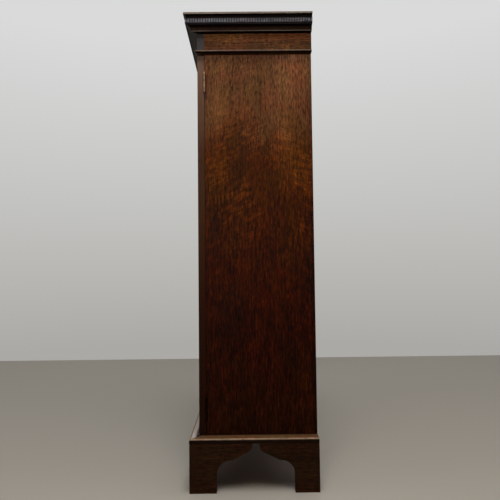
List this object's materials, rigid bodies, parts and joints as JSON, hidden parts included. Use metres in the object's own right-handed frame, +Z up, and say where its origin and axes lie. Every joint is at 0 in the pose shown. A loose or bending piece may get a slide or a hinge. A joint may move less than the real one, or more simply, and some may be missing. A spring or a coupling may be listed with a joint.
{
  "type": "display cabinet",
  "caption": "Tall oak display cabinet with a dentil cornice, bracket feet, a pair of astragal-glazed doors on butt hinges, a lock and adjustable shelves.",
  "frame": {"origin": "on the floor, under the middle of the cornice's plan", "axes": "+Z up, -Y towards the front of the cabinet, +X to the right as seen from the front"},
  "size_m": [1.168, 0.42, 1.53],
  "materials": {
    "oak_case": "waxed dark oak",
    "oak_moulding": "waxed darker oak",
    "oak_door": "waxed dark oak",
    "oak_inside": "plain oak",
    "glass": "clear",
    "brass": "aged",
    "iron": "dark iron"
  },
  "bodies": {
    "case": {"side_left": "oak_case", "side_right": "oak_case", "case_bottom": "oak_inside", "case_top": "oak_inside", "back_board_1": "oak_inside", "back_board_2": "oak_inside", "back_board_3": "oak_inside", "back_board_4": "oak_inside", "shelf_1": "oak_inside", "shelf_2": "oak_inside", "shelf_3": "oak_inside", "shelf_pegs": "brass", "dust_board": "oak_inside", "frieze_front": "oak_case", "frieze_left": "oak_case", "frieze_right": "oak_case", "astragal_front": "oak_moulding", "astragal_left": "oak_moulding", "astragal_right": "oak_moulding", "bed_mould_front": "oak_moulding", "bed_mould_left": "oak_moulding", "bed_mould_right": "oak_moulding", "dentil_strip_front": "oak_moulding", "dentil_strip_left": "oak_moulding", "dentil_strip_right": "oak_moulding", "crown_mould_front": "oak_moulding", "crown_mould_left": "oak_moulding", "crown_mould_right": "oak_moulding", "base_mould_front": "oak_moulding", "base_mould_left": "oak_moulding", "base_mould_right": "oak_moulding", "bracket_left_front": "oak_moulding", "bracket_left_rear": "oak_moulding", "bracket_right_front": "oak_moulding", "bracket_right_rear": "oak_moulding", "front_brackets": "oak_moulding", "rear_brackets": "oak_inside", "corner_blocks": "oak_inside", "case_hinge_leaves": "brass"},
    "left_door": {"left_door_hinge_stile": "oak_door", "left_door_meeting_stile": "oak_door", "left_door_rails": "oak_door", "left_door_glazing_bars": "oak_door", "left_door_panes": "glass", "left_door_glazing_beads": "oak_door", "left_door_hinge_leaves": "brass", "bolt_plates": "brass"},
    "right_door": {"right_door_hinge_stile": "oak_door", "right_door_meeting_stile": "oak_door", "right_door_rails": "oak_door", "right_door_glazing_bars": "oak_door", "right_door_panes": "glass", "right_door_glazing_beads": "oak_door", "right_door_hinge_leaves": "brass", "lock_case": "brass", "escutcheon": "brass"},
    "key": {"key": "iron"},
    "lock_bolt": {"lock_bolt": "brass"},
    "top_bolt": {"top_bolt": "brass"},
    "bottom_bolt": {"bottom_bolt": "brass"}
  },
  "joints": [
    {"name": "right_door_hinge", "type": "hinge", "parent": "case", "child": "right_door", "pos_m": [0.5343, -0.14675, 0.8], "axis": [0, 0, 1], "range_deg": [0, 165]},
    {"name": "left_door_hinge", "type": "hinge", "parent": "case", "child": "left_door", "pos_m": [-0.5343, -0.14675, 0.8], "axis": [0, 0, -1], "range_deg": [0, 165]},
    {"name": "key_turn", "type": "hinge", "parent": "right_door", "child": "key", "pos_m": [0.02075, -0.17, 0.768], "axis": [0, -1, 0], "range_deg": [0, 180]},
    {"name": "lock_bolt_slide", "type": "slide", "parent": "right_door", "child": "lock_bolt", "axis": [-1, 0, 0], "range_m": [0, 0.008]},
    {"name": "top_bolt_slide", "type": "slide", "parent": "left_door", "child": "top_bolt", "axis": [0, 0, 1], "range_m": [0, 0.012]},
    {"name": "bottom_bolt_slide", "type": "slide", "parent": "left_door", "child": "bottom_bolt", "axis": [0, 0, -1], "range_m": [0, 0.012]}
  ],
  "couplings": [
    {"joint": "lock_bolt_slide", "follows": "key_turn", "m_per_rad": 0.002546}
  ]
}
